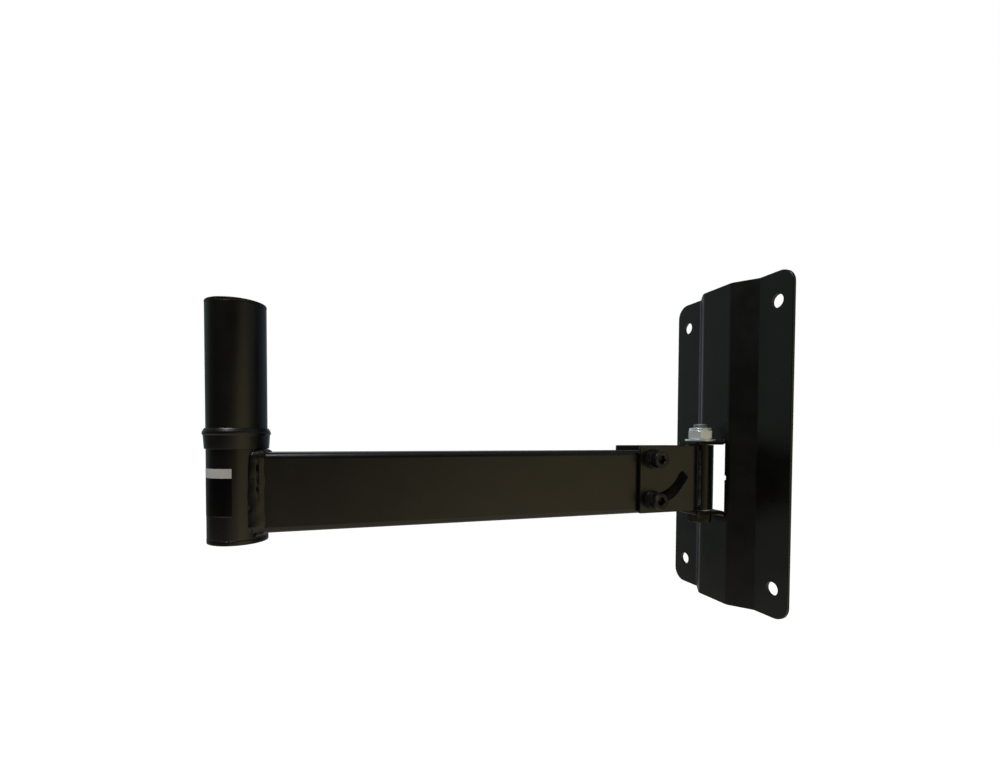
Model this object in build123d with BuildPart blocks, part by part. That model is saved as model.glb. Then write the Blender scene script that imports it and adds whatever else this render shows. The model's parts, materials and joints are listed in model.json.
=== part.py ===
from build123d import *
import os
from math import asin, cos, degrees, pi, radians, sin, tan

# Speaker wall bracket: a pressed wall plate, a knuckle that swivels between its two ears, and an arm
# that tilts in the knuckle's clevis and carries an upright pole for a loudspeaker's socket.
# Millimetres. +Z is up, the wall is the plane Y = 0 and the arm reaches out along -Y.
# The origin is on the wall, in the middle of the four wall holes.

# Wall plate, one pressed sheet of hat section
sheet = 3.0
plate_width = 130.0
plate_height = 278.0
plate_corner = 12.0
hole_pitch_x = 102.0
hole_pitch_z = 231.0
wall_hole_dia = 11.0
raise_depth = 12.5
raised_flat = 32.5
raised_foot = 66.5
press_bend = 5.5

# Ears, lanced from a window in the raised part and folded forward
joint_height = -28.5
swivel_offset = 31.0
ear_width = 25.0
ear_gap = 57.5
ear_bend = 4.5
ear_corner = 2.0
slit_height = 3.8
slit_overrun = 1.5

# Swivel bolt, nut and washers
swivel_bolt_dia = 12.0
swivel_flats = 19.0
swivel_head_height = 7.5
swivel_hex_height = 7.4
swivel_collar_dia = 18.4
swivel_nut_height = 9.8
swivel_nut_turn = 10.0
swivel_washer_dia = 25.0
swivel_washer_thickness = 1.8
swivel_bolt_end = 3.4
thrust_washer_dia = 22.0
thrust_washer_thickness = 1.0

# Knuckle
swivel_tube_dia = 22.0
swivel_play = 0.3
clevis_height = 54.4
clevis_rise = 0.8
clevis_bend = 10.5
clevis_nose = 12.1
clevis_corner = 1.0
pivot_reach = 62.5
screw_spacing = 33.0
slot_width = 9.0
slot_sweep = 63.0
slot_lead = 1.0
knuckle_bead = 3.2
knuckle_bead_angle = 42.0
knuckle_bead_setback = 1.0

# Arm
arm_width = 30.0
arm_height = 51.0
arm_wall = 2.0
arm_corner = 4.0
arm_reach = 365.0
arm_overhang = 9.5
arm_drop = 2.3
arm_side_gap = 0.3
arm_notch = 1.0

# Pole and its mouldings
pole_dia = 35.0
pole_wall = 2.0
pole_free = 79.3
pole_below = 6.1
collar_seat = 2.3
collar_height = 13.0
collar_rim_dia = 39.0
collar_rim_height = 1.4
collar_bevel = 2.4
collar_top_dia = 36.4
collar_neck_dia = 37.9
collar_foot_dia = 36.8
collar_round = 0.5
collar_groove = 0.6
collar_groove_height = 2.5
cap_lip_dia = 35.2
cap_lip = 1.8
plug_lip = 3.0
cap_skirt = 14.0
cap_skirt_wall = 1.6
lip_round = 0.8
side_bead_bulge = 1.5
bead_lap = 0.45
side_bead_over = 2.4
side_bead_under = 1.3
top_bead = 1.0
foot_bead = 1.8

# Socket-head screws, washers and locknuts of the tilt joint
screw_dia = 8.0
screw_head_dia = 13.0
screw_head_height = 8.0
screw_head_chamfer = 0.7
socket_flats = 6.0
socket_depth = 4.2
screw_end = 2.0
washer_dia = 16.0
washer_thickness = 1.6
spring_washer_dia = 14.6
spring_washer_thickness = 2.0
spring_washer_split = 1.8
nut_flats = 13.0
nut_hex_height = 6.0
nut_collar_dia = 12.2
nut_height = 8.0

# Fits and small edges
running_clearance = 0.1
hole_clearance = 0.25
thread_clearance = 0.05
slide_clearance = 0.1
moulding_clearance = 0.1
weld_clearance = 0.05
insert_wall = 1.0
insert_depth = 2.0
insert_recess = 0.3
hex_chamfer_angle = 30.0
hex_face_share = 0.95
end_chamfer = 0.9
sheet_edge_break = 0.4
sharp_angle = 30.0

os.makedirs("parts", exist_ok=True)

# Places worked out from the sizes above
plate_front = raise_depth + sheet
ear_lower = joint_height - ear_gap / 2
ear_upper = joint_height + ear_gap / 2
window_half = ear_gap / 2 + sheet / 2 + ear_bend
raised_mid = raise_depth + sheet / 2
ear_length = window_half - slit_height / 2 - pi / 2 * ear_bend
ear_tip = raised_mid + ear_bend + ear_length
knuckle_mid = joint_height + clevis_rise
arm_mid = knuckle_mid - arm_drop
pivot_out = swivel_offset + pivot_reach
pivot_height = knuckle_mid + screw_spacing / 2
lock_height = knuckle_mid - screw_spacing / 2
clevis_face = arm_width / 2 + arm_side_gap + sheet
clevis_back = swivel_offset + swivel_tube_dia / 2
clevis_front = pivot_out + clevis_nose
arm_rear = pivot_out - arm_overhang
arm_top = arm_mid + arm_height / 2
arm_bottom = arm_mid - arm_height / 2
pole_out = swivel_offset + arm_reach
arm_end = pole_out - pole_dia / 2 + arm_notch
collar_bottom = arm_top + collar_seat
collar_top = collar_bottom + collar_height
pole_top = collar_top + pole_free
pole_foot = arm_bottom - pole_below
pole_axis = Axis((0, -pole_out, 0), (0, 0, 1))
swivel_axis = Axis((0, -swivel_offset, 0), (0, 0, 1))


def ring(seat, outer, inner, thickness):
    # A flat washer or tube that stands on the plane
    with BuildPart() as washer:
        with BuildSketch(seat):
            Circle(outer / 2)
            Circle(inner / 2, mode=Mode.SUBTRACT)
        extrude(amount=thickness)
    return washer.part


def section_of(seat):
    # The plane through the seat's axis, with its height along the axis
    return Plane(seat.origin, x_dir=seat.x_dir, z_dir=-seat.y_dir)


def locknut(seat, flats, hex_height, collar, height, bore):
    # A hex nut with a chamfered foot, a round collar and a pocket for its plastic ring
    foot = hex_face_share * flats / 2
    corner = flats / 2 / cos(radians(30))
    rise = (corner - foot) * tan(radians(hex_chamfer_angle))
    shoulder = (corner - collar / 2) * tan(radians(hex_chamfer_angle))
    with BuildPart() as nut:
        with BuildSketch(seat):
            RegularPolygon(flats / 2, 6, major_radius=False)
        extrude(amount=height)
        with BuildSketch(section_of(seat)):
            with BuildLine():
                Polyline((0, 0), (foot, 0), (corner, rise), (corner, hex_height - shoulder),
                         (collar / 2, hex_height), (collar / 2, height), (0, height), close=True)
            make_face()
        revolve(axis=Axis(seat.origin, seat.z_dir), mode=Mode.INTERSECT)
        with BuildSketch(seat):
            Circle(bore / 2)
        extrude(amount=height, mode=Mode.SUBTRACT)
        with BuildSketch(seat.offset(height - insert_depth - insert_recess)):
            Circle(collar / 2 - insert_wall)
        extrude(amount=insert_depth + insert_recess, mode=Mode.SUBTRACT)
    return nut.part


def insert_ring(seat, collar, height, bore):
    # The locknut's plastic ring, in its pocket under the nut's top
    insert_seat = seat.offset(height - insert_depth - insert_recess)
    return ring(insert_seat, collar - 2 * insert_wall, bore, insert_depth)


def sharp_edges(solid):
    # The edges where two faces of a sheet meet at an angle, apart from the smooth ends of its bends
    faces = solid.faces()
    found = ShapeList()
    for edge in solid.edges():
        middle = edge.position_at(0.5)
        beside = [face.normal_at(middle) for face in faces if edge in face.edges()]
        if len(beside) == 2 and beside[0].get_angle(beside[1]) > sharp_angle:
            found.append(edge)
    return found


def folded_ear(side):
    # One ear: a strip folded forward out of the raised part, with its tip rounded and its free edges broken
    ear_mid = joint_height + side * (ear_gap + sheet) / 2
    with BuildPart() as ear:
        with BuildSketch(Plane.YZ):
            with BuildLine():
                FilletPolyline((-raised_mid, joint_height + side * (window_half + sheet)),
                               (-raised_mid, ear_mid), (-ear_tip, ear_mid), radius=ear_bend)
            trace(line_width=sheet)
        extrude(amount=ear_width / 2, both=True)
        fillet(ear.edges().filter_by(Axis.Z).group_by(Axis.Y)[0], ear_corner)
        free_edges = sharp_edges(ear.part).filter_by(lambda edge: abs(edge.center().Z - ear_mid) < sheet)
        chamfer(free_edges, sheet_edge_break)
    return ear.part


def finish_piece(solid, name):
    # Names a piece and writes it
    solid.label = name
    export_step(solid, f"parts/{name}.step")


# Wall plate: the hat section runs the plate's height, and each ear is the sheet of half the window
with BuildPart() as wall_plate:
    with BuildSketch(Plane.XY.offset(-plate_height / 2)):
        with BuildLine():
            FilletPolyline((-plate_width / 2, -sheet / 2), (-raised_foot / 2, -sheet / 2),
                           (-raised_flat / 2, -raised_mid), (raised_flat / 2, -raised_mid),
                           (raised_foot / 2, -sheet / 2), (plate_width / 2, -sheet / 2), radius=press_bend)
        trace(line_width=sheet)
    extrude(amount=plate_height)
    fillet(wall_plate.edges().filter_by(Axis.Y), plate_corner)
    chamfer(sharp_edges(wall_plate.part), sheet_edge_break)
    with BuildSketch(Plane.XZ):
        with GridLocations(hole_pitch_x, hole_pitch_z, 2, 2):
            Circle(wall_hole_dia / 2)
    extrude(amount=sheet, mode=Mode.SUBTRACT)
    with BuildSketch(Plane.XZ):
        with Locations((0, joint_height)):
            Rectangle(ear_width, 2 * window_half)
            Rectangle(ear_width + 2 * slit_overrun, slit_height)
    extrude(amount=plate_front, mode=Mode.SUBTRACT)
    add([folded_ear(side) for side in (1, -1)])
    with BuildSketch(Plane.XY.offset(ear_lower - sheet)):
        with Locations((0, -swivel_offset)):
            Circle(swivel_bolt_dia / 2 + hole_clearance)
    extrude(amount=ear_gap + 2 * sheet, mode=Mode.SUBTRACT)
finish_piece(wall_plate.part, "wall_plate")

# Swivel bolt: hex head under the lower ear, plain shank, chamfered end above the nut
swivel_seat = Plane((0, -swivel_offset, ear_upper + sheet))
swivel_nut_seat = swivel_seat.offset(swivel_washer_thickness).rotated((0, 0, swivel_nut_turn))
swivel_head_seat = Plane((0, -swivel_offset, ear_lower - sheet), z_dir=(0, 0, -1))
swivel_head_seat = swivel_head_seat.rotated((0, 0, swivel_nut_turn))
swivel_bolt_length = ear_gap + 2 * sheet + swivel_washer_thickness + swivel_nut_height + swivel_bolt_end
head_corner = swivel_flats / 2 / cos(radians(30))
head_face = hex_face_share * swivel_flats / 2
head_rise = (head_corner - head_face) * tan(radians(hex_chamfer_angle))
with BuildPart() as swivel_bolt:
    with BuildSketch(swivel_head_seat):
        RegularPolygon(swivel_flats / 2, 6, major_radius=False)
    extrude(amount=swivel_head_height)
    with BuildSketch(section_of(swivel_head_seat)):
        with BuildLine():
            Polyline((0, 0), (head_corner, 0), (head_corner, swivel_head_height - head_rise),
                     (head_face, swivel_head_height), (0, swivel_head_height), close=True)
        make_face()
    revolve(axis=swivel_axis, mode=Mode.INTERSECT)
    with BuildSketch(Plane.XY.offset(ear_lower - sheet)):
        with Locations((0, -swivel_offset)):
            Circle(swivel_bolt_dia / 2)
    extrude(amount=swivel_bolt_length)
    chamfer(swivel_bolt.edges().filter_by(GeomType.CIRCLE).sort_by(Axis.Z)[-1], end_chamfer)
finish_piece(swivel_bolt.part, "swivel_bolt")

swivel_bore = swivel_bolt_dia + 2 * hole_clearance
swivel_thread = swivel_bolt_dia + 2 * thread_clearance
finish_piece(ring(swivel_seat, swivel_washer_dia, swivel_bore, swivel_washer_thickness), "swivel_washer")
finish_piece(locknut(swivel_nut_seat, swivel_flats, swivel_hex_height, swivel_collar_dia, swivel_nut_height,
                     swivel_thread), "swivel_nut")
finish_piece(insert_ring(swivel_nut_seat, swivel_collar_dia, swivel_nut_height, swivel_thread),
             "swivel_nut_insert")

# Thrust washer and swivel tube, stacked on the lower ear
thrust_seat = Plane((0, -swivel_offset, ear_lower))
tube_seat = thrust_seat.offset(thrust_washer_thickness)
tube_bore = swivel_bolt_dia + 2 * running_clearance
tube_length = ear_gap - thrust_washer_thickness - swivel_play
finish_piece(ring(thrust_seat, thrust_washer_dia, swivel_bore, thrust_washer_thickness), "thrust_washer")
swivel_tube = ring(tube_seat, swivel_tube_dia, tube_bore, tube_length)
finish_piece(swivel_tube, "swivel_tube")

# Tilt clevis: a strap bent to a U around the arm, its back against the swivel tube
clevis_mid = clevis_face - sheet / 2
with BuildPart() as tilt_clevis:
    with BuildSketch(Plane.XY.offset(knuckle_mid - clevis_height / 2)):
        with BuildLine():
            FilletPolyline((clevis_mid, -clevis_front), (clevis_mid, -clevis_back - sheet / 2),
                           (-clevis_mid, -clevis_back - sheet / 2), (-clevis_mid, -clevis_front),
                           radius=clevis_bend)
        trace(line_width=sheet)
    extrude(amount=clevis_height)
    nose_edges = tilt_clevis.edges().filter_by(Axis.X).group_by(Axis.Y)[0]
    fillet(nose_edges, clevis_corner)
    slot_path = CenterArc((-pivot_out, pivot_height), screw_spacing, -90 - slot_lead, slot_sweep + slot_lead,
                          mode=Mode.PRIVATE)
    with BuildSketch(Plane.YZ):
        with Locations((-pivot_out, pivot_height)):
            Circle(screw_dia / 2 + hole_clearance)
        SlotArc(slot_path, slot_width)
    extrude(amount=clevis_face, both=True, mode=Mode.SUBTRACT)
    chamfer(sharp_edges(tilt_clevis.part), sheet_edge_break)
finish_piece(tilt_clevis.part, "tilt_clevis")

# Knuckle weld: a bead in each groove between the strap's back and the tube
bead_radius = swivel_tube_dia / 2 + knuckle_bead / 2
bead_x = bead_radius * sin(radians(knuckle_bead_angle))
bead_y = -swivel_offset - bead_radius * cos(radians(knuckle_bead_angle))
bead_foot = knuckle_mid - clevis_height / 2 + knuckle_bead_setback
with BuildPart() as knuckle_weld:
    with BuildSketch(Plane.XY.offset(bead_foot)):
        with Locations((bead_x, bead_y), (-bead_x, bead_y)):
            Circle(knuckle_bead)
    extrude(amount=clevis_height - 2 * knuckle_bead_setback)
    with BuildSketch(Plane.XY.offset(bead_foot)):
        with Locations((0, -swivel_offset)):
            Circle(swivel_tube_dia / 2 + weld_clearance)
    extrude(amount=clevis_height, mode=Mode.SUBTRACT)
    add(tilt_clevis.part, mode=Mode.SUBTRACT)
finish_piece(knuckle_weld.part, "knuckle_weld")

# Arm tube: cut square and notched by the pole at one end, open in the clevis at the other
with BuildPart() as arm_tube:
    with BuildSketch(Plane.XZ.offset(arm_rear)):
        with Locations((0, arm_mid)):
            RectangleRounded(arm_width, arm_height, arm_corner)
            RectangleRounded(arm_width - 2 * arm_wall, arm_height - 2 * arm_wall, arm_corner - arm_wall,
                             mode=Mode.SUBTRACT)
    extrude(amount=arm_end - arm_rear)
    with BuildSketch(Plane.XY.offset(arm_bottom)):
        with Locations((0, -pole_out)):
            Circle(pole_dia / 2 + weld_clearance)
    extrude(amount=arm_height, mode=Mode.SUBTRACT)
    with BuildSketch(Plane.YZ):
        with Locations((-pivot_out, pivot_height), (-pivot_out, lock_height)):
            Circle(screw_dia / 2 + running_clearance)
    extrude(amount=arm_width / 2, both=True, mode=Mode.SUBTRACT)
finish_piece(arm_tube.part, "arm_tube")

# Pole tube, with its mouldings seated on and in it
tube_top = pole_top - cap_lip
tube_foot = pole_foot + plug_lip
pole_bore = pole_dia - 2 * pole_wall
groove_foot = collar_top - collar_groove_height
groove_dia = pole_dia - 2 * collar_groove
with BuildPart() as pole_tube:
    with BuildSketch(Plane((0, -pole_out, tube_foot))):
        Circle(pole_dia / 2)
        Circle(pole_bore / 2, mode=Mode.SUBTRACT)
    extrude(amount=tube_top - tube_foot)
    with BuildSketch(Plane((0, -pole_out, groove_foot))):
        Circle(pole_dia / 2)
        Circle(groove_dia / 2, mode=Mode.SUBTRACT)
    extrude(amount=collar_groove_height, mode=Mode.SUBTRACT)
finish_piece(pole_tube.part, "pole_tube")

# Seat collar: a rim with a bevel above it and a taper below, a step to the pole at the foot and a rib in the
# pole's groove
rim_top = collar_top - collar_bevel
rim_foot = rim_top - collar_rim_height
collar_bore = pole_dia / 2 + moulding_clearance
rib_bore = groove_dia / 2 + moulding_clearance
rib_foot = groove_foot + moulding_clearance
rib_top = collar_top - moulding_clearance
with BuildPart() as seat_collar:
    with BuildSketch(Plane.XZ.offset(pole_out)):
        with BuildLine():
            Polyline((collar_bore, collar_bottom), (collar_foot_dia / 2, collar_bottom),
                     (collar_neck_dia / 2, rim_foot - collar_round), (collar_rim_dia / 2, rim_foot),
                     (collar_rim_dia / 2, rim_top), (collar_top_dia / 2, collar_top),
                     (collar_bore, collar_top), (collar_bore, rib_top), (rib_bore, rib_top),
                     (rib_bore, rib_foot), (collar_bore, rib_foot), close=True)
        make_face()
    revolve(axis=pole_axis)
    rim_edges = seat_collar.edges().filter_by(GeomType.CIRCLE).group_by(SortBy.RADIUS)[-1]
    fillet(rim_edges, collar_round)
finish_piece(seat_collar.part, "seat_collar")

# Pole cap and pole plug: a lip on the tube's end and a skirt inside it
pole_mouldings = (("pole_cap", tube_top, cap_lip, -1), ("pole_plug", tube_foot, plug_lip, 1))
for name, lip_seat, lip, inward in pole_mouldings:
    skirt_dia = pole_bore - 2 * moulding_clearance
    with BuildPart() as moulding:
        with BuildSketch(Plane((0, -pole_out, lip_seat), z_dir=(0, 0, -inward))):
            Circle(cap_lip_dia / 2)
        extrude(amount=lip)
        outer_rim = moulding.edges().filter_by(GeomType.CIRCLE).sort_by(Axis.Z, reverse=inward < 0)[0]
        fillet(outer_rim, lip_round)
        with BuildSketch(Plane((0, -pole_out, lip_seat), z_dir=(0, 0, inward))):
            Circle(skirt_dia / 2)
            Circle(skirt_dia / 2 - cap_skirt_wall, mode=Mode.SUBTRACT)
        extrude(amount=cap_skirt)
    finish_piece(moulding.part, name)

# Pole weld: a thick bead with domed ends fills each side of the arm's square end up to the pole, the walls
# between are filled flush, and a smaller bead runs over the top and under the foot round the pole
saddle_angle = asin(arm_width / pole_dia)
saddle_out = pole_out - pole_dia / 2 * cos(saddle_angle)
side_chord = saddle_out - arm_end + 2 * bead_lap
side_bead = (side_chord**2 / 4 + side_bead_bulge**2) / (2 * side_bead_bulge)
side_x = arm_width / 2 + side_bead_bulge - side_bead
side_y = -(saddle_out + arm_end) / 2
side_foot = arm_bottom - side_bead_under
side_top = arm_top + side_bead_over
bead_angle = asin(arm_width / (pole_dia + 2 * foot_bead))
bead_start = Plane((0, -pole_out, 0), x_dir=(sin(bead_angle), cos(bead_angle), 0),
                   z_dir=(cos(bead_angle), -sin(bead_angle), 0))
with BuildPart() as pole_weld:
    for x in (side_x, -side_x):
        with BuildSketch(Plane((x, side_y, 0), x_dir=(1, 0, 0), z_dir=(0, -1, 0))):
            with BuildLine():
                Line((0, side_foot), (0, side_top))
                RadiusArc((0, side_top), (side_bead, side_top - side_bead), side_bead)
                Line((side_bead, side_top - side_bead), (side_bead, side_foot + side_bead))
                RadiusArc((side_bead, side_foot + side_bead), (0, side_foot), side_bead)
            make_face()
        revolve(axis=Axis((x, side_y, 0), (0, 0, 1)))
    with BuildSketch(bead_start):
        for seat, bead in ((arm_top, top_bead), (arm_bottom, -foot_bead)):
            reach = pole_dia / 2 + abs(bead)
            with BuildLine():
                Polyline((pole_dia / 2, seat - bead), (reach, seat - bead), (reach, seat),
                         (pole_dia / 2, seat + bead), close=True)
            make_face()
    revolve(axis=pole_axis, revolution_arc=2 * degrees(bead_angle))
    with BuildSketch(Plane.XZ.offset(arm_rear)):
        with Locations((0, arm_mid)):
            RectangleRounded(arm_width, arm_height, arm_corner)
    extrude(amount=arm_end - arm_rear, mode=Mode.SUBTRACT)
    with BuildSketch(Plane.XZ.offset(arm_end)):
        with Locations((0, arm_mid)):
            RectangleRounded(arm_width, arm_height, arm_corner)
            RectangleRounded(arm_width - 2 * arm_wall, arm_height - 2 * arm_wall, arm_corner - arm_wall,
                             mode=Mode.SUBTRACT)
    extrude(amount=pole_out - arm_end)
    with BuildSketch(Plane.XY.offset(pole_foot)):
        with Locations((0, -pole_out)):
            Circle(pole_dia / 2 + weld_clearance)
    extrude(amount=pole_top - pole_foot, mode=Mode.SUBTRACT)
finish_piece(pole_weld.part, "pole_weld")

# Screws of the tilt joint: the pivot screw sits on the strap, the lock screw slides in its slots
for name, height, gap in (("pivot", pivot_height, 0.0), ("lock", lock_height, slide_clearance)):
    near_seat = Plane((clevis_face + gap, -pivot_out, height), x_dir=(0, 1, 0), z_dir=(1, 0, 0))
    far_seat = Plane((-clevis_face - gap, -pivot_out, height), x_dir=(0, 1, 0), z_dir=(-1, 0, 0))
    head_seat = near_seat.offset(washer_thickness + spring_washer_thickness)
    nut_seat = far_seat.offset(washer_thickness)
    washer_bore = screw_dia + 2 * hole_clearance
    thread_bore = screw_dia + 2 * thread_clearance
    shank = 2 * (clevis_face + gap) + 2 * washer_thickness + spring_washer_thickness + nut_height + screw_end
    with BuildPart() as screw:
        with BuildSketch(head_seat):
            Circle(screw_head_dia / 2)
        extrude(amount=screw_head_height)
        chamfer(screw.edges().filter_by(GeomType.CIRCLE).sort_by(Axis.X)[-1], screw_head_chamfer)
        with BuildSketch(head_seat.offset(screw_head_height - socket_depth)):
            RegularPolygon(socket_flats / 2, 6, major_radius=False)
        extrude(amount=socket_depth, mode=Mode.SUBTRACT)
        with BuildSketch(head_seat):
            Circle(screw_dia / 2)
        extrude(amount=-shank)
        chamfer(screw.edges().filter_by(GeomType.CIRCLE).sort_by(Axis.X)[0], end_chamfer)
    finish_piece(screw.part, f"{name}_screw")
    finish_piece(ring(near_seat, washer_dia, washer_bore, washer_thickness), f"{name}_washer")
    finish_piece(ring(far_seat, washer_dia, washer_bore, washer_thickness), f"{name}_far_washer")
    with BuildPart() as spring_washer:
        with BuildSketch(near_seat.offset(washer_thickness)):
            Circle(spring_washer_dia / 2)
            Circle(washer_bore / 2, mode=Mode.SUBTRACT)
            with Locations((0, spring_washer_dia / 2)):
                Rectangle(spring_washer_split, spring_washer_dia, mode=Mode.SUBTRACT)
        extrude(amount=spring_washer_thickness)
    finish_piece(spring_washer.part, f"{name}_spring_washer")
    finish_piece(locknut(nut_seat, nut_flats, nut_hex_height, nut_collar_dia, nut_height, thread_bore),
                 f"{name}_nut")
    finish_piece(insert_ring(nut_seat, nut_collar_dia, nut_height, thread_bore), f"{name}_nut_insert")
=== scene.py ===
import json
from math import cos, pi, radians, sin, tan
import bmesh
import bpy
import numpy as np
from mathutils import Matrix, Vector


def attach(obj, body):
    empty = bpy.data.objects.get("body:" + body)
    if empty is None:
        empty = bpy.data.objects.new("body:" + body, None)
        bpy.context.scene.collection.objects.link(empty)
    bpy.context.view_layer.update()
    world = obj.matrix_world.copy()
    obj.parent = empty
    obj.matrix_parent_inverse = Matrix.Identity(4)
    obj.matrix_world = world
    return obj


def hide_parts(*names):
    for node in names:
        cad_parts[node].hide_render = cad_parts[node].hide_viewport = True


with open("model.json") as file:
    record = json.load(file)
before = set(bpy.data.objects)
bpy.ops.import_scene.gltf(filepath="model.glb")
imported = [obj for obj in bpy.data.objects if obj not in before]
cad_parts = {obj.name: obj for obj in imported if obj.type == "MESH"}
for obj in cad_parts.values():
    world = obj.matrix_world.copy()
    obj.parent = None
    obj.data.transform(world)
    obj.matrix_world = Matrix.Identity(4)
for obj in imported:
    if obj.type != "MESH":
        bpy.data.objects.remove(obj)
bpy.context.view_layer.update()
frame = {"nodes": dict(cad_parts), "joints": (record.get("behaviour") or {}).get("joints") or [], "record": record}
nodes = frame["nodes"]
scene = bpy.context.scene
mm = 0.001
slotOf = {part["node"]: part["material_slot"] for part in frame["record"]["subparts"]}
bodyOf = {node: body for body, names in frame["record"]["behaviour"]["bodies"].items() for node in names}
jointAt = {joint["name"]: np.array(joint["pos_m"]) / mm for joint in frame["joints"]}
print("frame loaded:", len(nodes), "nodes")

# camera
camera = {
    "place": (339.56, -331.68, 5.92),  # mm
    "yaw": 18.27, "pitch": -1.49, "roll": 0.27,  # degrees
    "focal": 470.3, "middle": (498.02, 449.43), "picture": (1000, 781),  # pixels
    "film": 36.0,  # mm across
    "nearest": 0.01,  # metres
}


def setCamera():
    # ahead, right and up are the camera's axes, turned by yaw, pitch and roll
    yaw, pitch, roll = (radians(camera[turn]) for turn in ("yaw", "pitch", "roll"))
    ahead = Vector((-cos(yaw) * cos(pitch), sin(yaw) * cos(pitch), sin(pitch)))
    level = Vector((sin(yaw), cos(yaw), 0))
    upright = level.cross(ahead)
    right = level * cos(roll) + upright * sin(roll)
    up = upright * cos(roll) - level * sin(roll)
    width, height = camera["picture"]
    lens = bpy.data.cameras.new("photoCamera")
    lens.sensor_width = camera["film"]
    lens.lens = camera["film"] * camera["focal"] / width
    lens.shift_x = (width / 2 - camera["middle"][0]) / width
    lens.shift_y = (camera["middle"][1] - height / 2) / width
    lens.clip_start = camera["nearest"]
    holder = bpy.data.objects.new("photoCamera", lens)
    holder.matrix_world = (Matrix.Translation(Vector(camera["place"]) * mm)
                           @ Matrix((right, up, -ahead)).transposed().to_4x4())
    scene.collection.objects.link(holder)
    scene.camera = holder


setCamera()
print("camera set")

# finishes: each noise is its grain's width in metres, its detail, its roughness and any stretch
noiseMiddle = (0.3, 0.7)  # most of a noise's values lie between these


def setSocket(tree, socket, value):
    # another node's output is linked, and anything else is set
    if isinstance(value, bpy.types.NodeSocket):
        tree.links.new(value, socket)
    else:
        socket.default_value = value


def addNode(tree, kind, settings=None, **inputs):
    # sockets are given by name, with _ for a blank, or by place as in0, in1
    node = tree.nodes.new(kind)
    for key, value in (settings or {}).items():
        setattr(node, key, value)
    for key, value in inputs.items():
        place = int(key[2:]) if key[:2] == "in" and key[2:].isdigit() else key.replace("_", " ")
        setSocket(tree, node.inputs[place], value)
    return node


def newFinish(name, metallic=0.0, ior=1.5):
    material = bpy.data.materials.new(name)
    material.use_nodes = True
    tree = material.node_tree
    shader = tree.nodes["Principled BSDF"]
    shader.inputs["Metallic"].default_value = metallic
    shader.inputs["IOR"].default_value = ior
    place = tree.nodes.new("ShaderNodeTexCoord").outputs["Object"]
    return material, tree, shader, place


def noiseOf(tree, place, size, detail, roughness, stretch=None):
    # stretch multiplies the place along each axis, so a value under 1 lengthens the grain
    if stretch:
        place = addNode(tree, "ShaderNodeMapping", Vector=place, Scale=stretch).outputs[0]
    return addNode(tree, "ShaderNodeTexNoise", Vector=place, Scale=1 / size, Detail=detail,
                   Roughness=roughness).outputs["Fac"]


def spread(tree, value, between, to=(0.0, 1.0)):
    # a value between the first two goes to its share of the way between the second two
    return addNode(tree, "ShaderNodeMapRange", in0=value, in1=between[0], in2=between[1], in3=to[0],
                   in4=to[1]).outputs[0]


def mixColour(tree, share, first, second):
    # in a Mix node of colours, the two colours are inputs 6 and 7, and the mix is output 2
    first, second = ((*tone, 1) if isinstance(tone, tuple) else tone for tone in (first, second))
    return addNode(tree, "ShaderNodeMix", {"data_type": "RGBA"}, in0=share, in6=first, in7=second).outputs[2]


def addMath(tree, operation, *values):
    inputs = {f"in{k}": value for k, value in enumerate(values)}
    return addNode(tree, "ShaderNodeMath", {"operation": operation}, **inputs).outputs[0]


def dress(tree, shader, tone, gloss, height, relief):
    # links tone, roughness and bump to the shader; relief is the bump's depth in metres and its strength
    depth, strength = relief
    bump = addNode(tree, "ShaderNodeBump", Height=height, Distance=depth, Strength=strength)
    for name, output in (("Base Color", tone), ("Roughness", gloss), ("Normal", bump.outputs[0])):
        tree.links.new(output, shader.inputs[name])


powderCoat = {
    "dark": (0.0020, 0.0020, 0.0019), "light": (0.0042, 0.0040, 0.0035), "speck": (0.010, 0.0096, 0.0085),
    "clouds": (0.022, 4.0, 0.6), "cloudRange": (0.35, 0.68),
    "specks": (0.0016, 3.0, 0.7), "speckRange": (0.60, 0.78), "speckShare": 0.30,
    "sheen": (0.035, 3.0, 0.55), "gloss": (0.25, 0.38),
    "peel": (0.0013, 1.5, 0.45), "grain": (0.00034, 2.0, 0.6), "grainShare": 0.35, "relief": (0.000030, 0.65),
}


def makePowderCoat():
    # satin coat: orange peel and fine grain in the relief, faint clouds in the tone and the gloss
    finish, tree, shader, place = newFinish("powderCoat")
    clouds, specks, sheen, peel, grain = (noiseOf(tree, place, *powderCoat[name])
                                          for name in ("clouds", "specks", "sheen", "peel", "grain"))
    clouds = spread(tree, clouds, powderCoat["cloudRange"])
    specks = spread(tree, specks, powderCoat["speckRange"])
    specks = addMath(tree, "MULTIPLY", specks, powderCoat["speckShare"])
    tone = mixColour(tree, clouds, powderCoat["dark"], powderCoat["light"])
    tone = mixColour(tree, specks, tone, powderCoat["speck"])
    gloss = spread(tree, sheen, noiseMiddle, powderCoat["gloss"])
    height = addMath(tree, "MULTIPLY_ADD", grain, powderCoat["grainShare"], peel)
    dress(tree, shader, tone, gloss, height, powderCoat["relief"])
    return finish


zincPlate = {
    "bright": (0.92, 0.98, 0.965), "dull": (0.78, 0.85, 0.835), "metallic": 0.48,
    "clouds": (0.004, 4.0, 0.6), "cloudRange": (0.35, 0.7),
    "scratches": (0.0003, 3.0, 0.6, (0.35, 0.35, 2.2)), "gloss": (0.26, 0.42), "relief": (0.000012, 0.6),
}


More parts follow.
